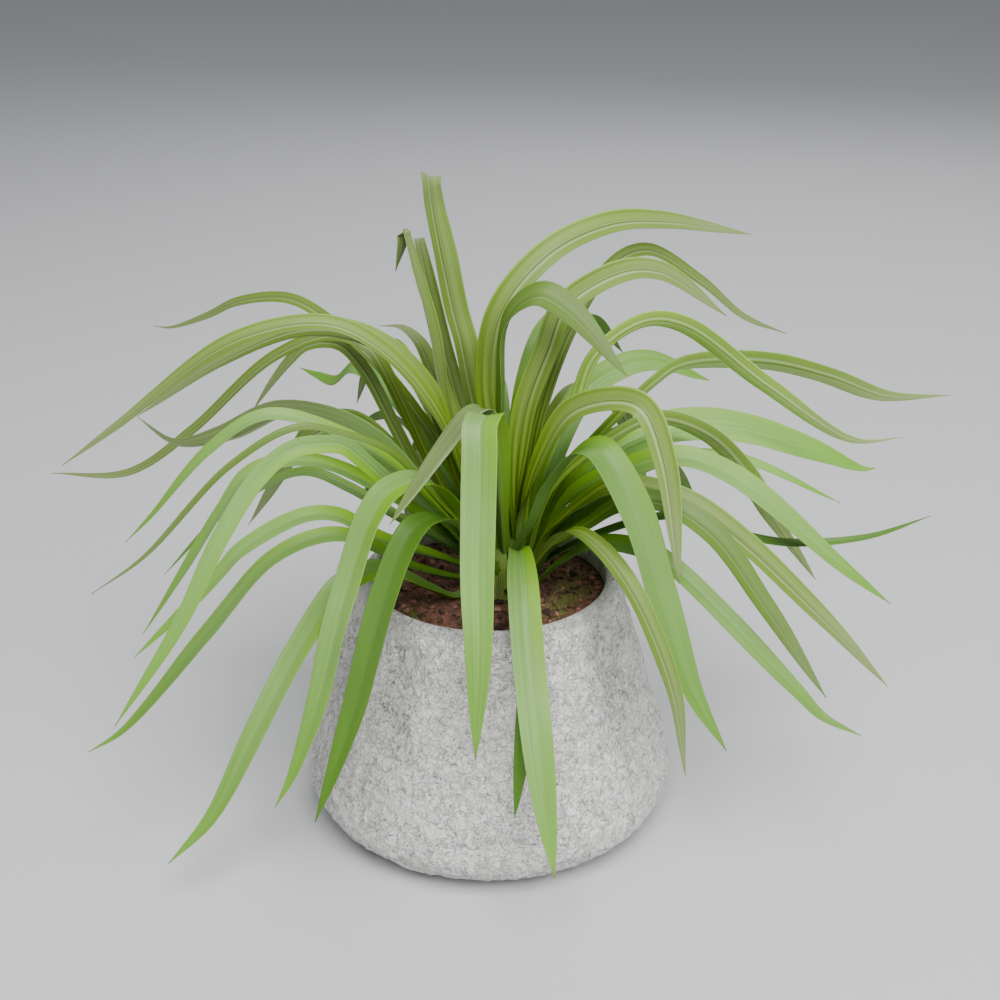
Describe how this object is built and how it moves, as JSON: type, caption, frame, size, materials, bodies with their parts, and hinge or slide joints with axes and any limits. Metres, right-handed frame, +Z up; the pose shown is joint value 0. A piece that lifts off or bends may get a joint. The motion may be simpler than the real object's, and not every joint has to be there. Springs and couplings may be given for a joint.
{
  "type": "potted plant",
  "caption": "Potted spider plant: long arching strap leaves grown from one crown in a filled, rough pale stone-like pot with a wide low shoulder and a narrow mouth.",
  "frame": {"origin": "middle of the pot's flat underside, on the pot's axis", "axes": "+Z up along the pot's axis; +Y from the pictured front towards the back; +X to the right as seen from the front, along the plant's widest spread"},
  "size_m": [0.5682, 0.3498, 0.3622],
  "materials": {
    "plaster": "matte",
    "soil": "matte",
    "stem": "satin",
    "leaf_plain": "satin",
    "leaf_striped": "satin"
  },
  "bodies": {
    "root": {"pot": "plaster", "soil": "soil", "crown": "stem", "leaf_left_01": "leaf_striped", "leaf_left_02": "leaf_striped", "leaf_left_03": "leaf_striped", "leaf_left_04": "leaf_striped", "leaf_left_05": "leaf_striped", "leaf_left_06": "leaf_plain", "leaf_left_07": "leaf_plain", "leaf_left_08": "leaf_striped", "leaf_left_09": "leaf_plain", "leaf_left_10": "leaf_plain", "leaf_left_11": "leaf_striped", "leaf_left_12": "leaf_plain", "leaf_left_13": "leaf_plain", "leaf_left_14": "leaf_plain", "leaf_left_15": "leaf_plain", "leaf_left_16": "leaf_plain", "leaf_left_17": "leaf_plain", "leaf_front_01": "leaf_plain", "leaf_front_02": "leaf_plain", "leaf_front_03": "leaf_plain", "leaf_front_04": "leaf_plain", "leaf_right_01": "leaf_striped", "leaf_right_02": "leaf_striped", "leaf_right_03": "leaf_striped", "leaf_right_04": "leaf_striped", "leaf_right_05": "leaf_plain", "leaf_right_06": "leaf_plain", "leaf_right_07": "leaf_striped", "leaf_right_08": "leaf_striped", "leaf_right_09": "leaf_plain", "leaf_right_10": "leaf_plain", "leaf_right_11": "leaf_striped", "leaf_right_12": "leaf_striped", "leaf_right_13": "leaf_plain", "leaf_right_14": "leaf_plain", "leaf_right_15": "leaf_plain", "leaf_right_16": "leaf_striped", "leaf_right_17": "leaf_striped", "leaf_right_18": "leaf_plain", "leaf_right_19": "leaf_plain", "leaf_right_20": "leaf_striped", "leaf_right_21": "leaf_plain", "leaf_back_01": "leaf_plain", "leaf_back_02": "leaf_striped", "leaf_back_03": "leaf_plain", "leaf_back_04": "leaf_striped", "leaf_back_05": "leaf_plain", "leaf_back_06": "leaf_plain", "leaf_back_07": "leaf_striped", "leaf_back_08": "leaf_striped", "leaf_back_09": "leaf_plain", "leaf_back_10": "leaf_plain", "leaf_back_11": "leaf_plain", "leaf_centre_01": "leaf_striped", "leaf_centre_02": "leaf_striped", "leaf_centre_03": "leaf_striped"}
  },
  "joints": []
}
